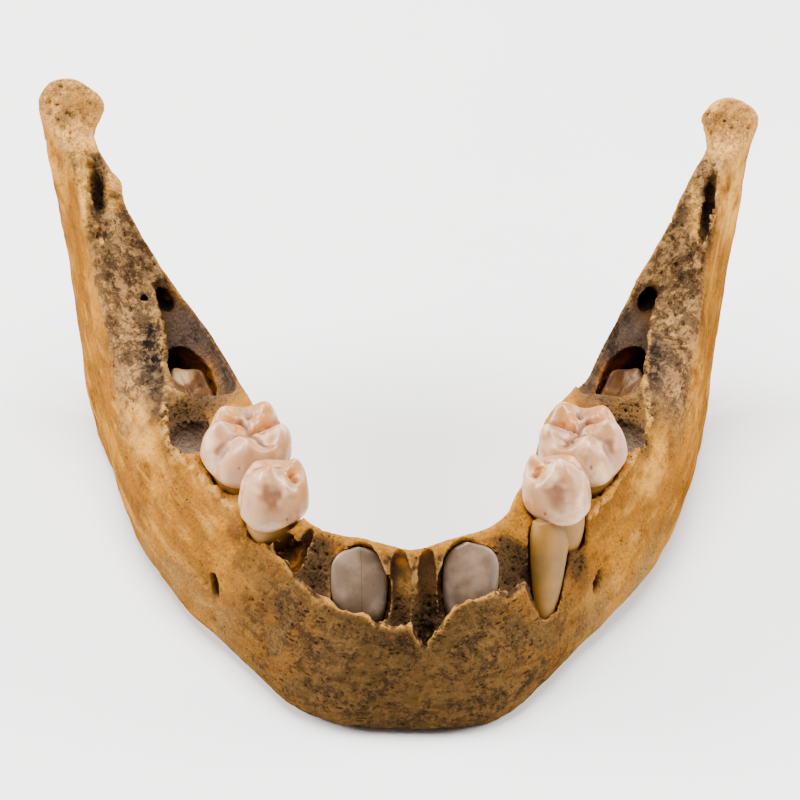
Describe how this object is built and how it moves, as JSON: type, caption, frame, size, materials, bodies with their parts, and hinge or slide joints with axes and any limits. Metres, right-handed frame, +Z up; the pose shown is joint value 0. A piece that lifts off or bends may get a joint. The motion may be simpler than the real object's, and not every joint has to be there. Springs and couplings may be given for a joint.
{
  "type": "juvenile human mandible",
  "caption": "Child's lower jaw bone with milk molars in their sockets, unerupted crowns in open crypts, condyles and broken coronoid processes.",
  "frame": {"origin": "middle of the jaw's box, on the flat surface that it rests on", "axes": "+X towards the specimen's left condyle, -Y towards the chin, +Z up towards the chewing surfaces"},
  "size_m": [0.0848, 0.0684, 0.0429],
  "materials": {
    "bone": "dry aged bone, satin, stained ochre",
    "milk_enamel": "glossy tooth enamel with ochre roots",
    "crown_enamel": "glossy enamel of an unerupted crown"
  },
  "bodies": {
    "root": {"mandible": "bone", "right_second_milk_molar": "milk_enamel", "right_first_milk_molar": "milk_enamel", "left_second_milk_molar": "milk_enamel", "left_first_milk_molar": "milk_enamel", "right_incisor_crown": "crown_enamel", "left_incisor_crown": "crown_enamel", "right_first_molar_crown": "crown_enamel", "left_first_molar_crown": "crown_enamel"}
  },
  "joints": []
}
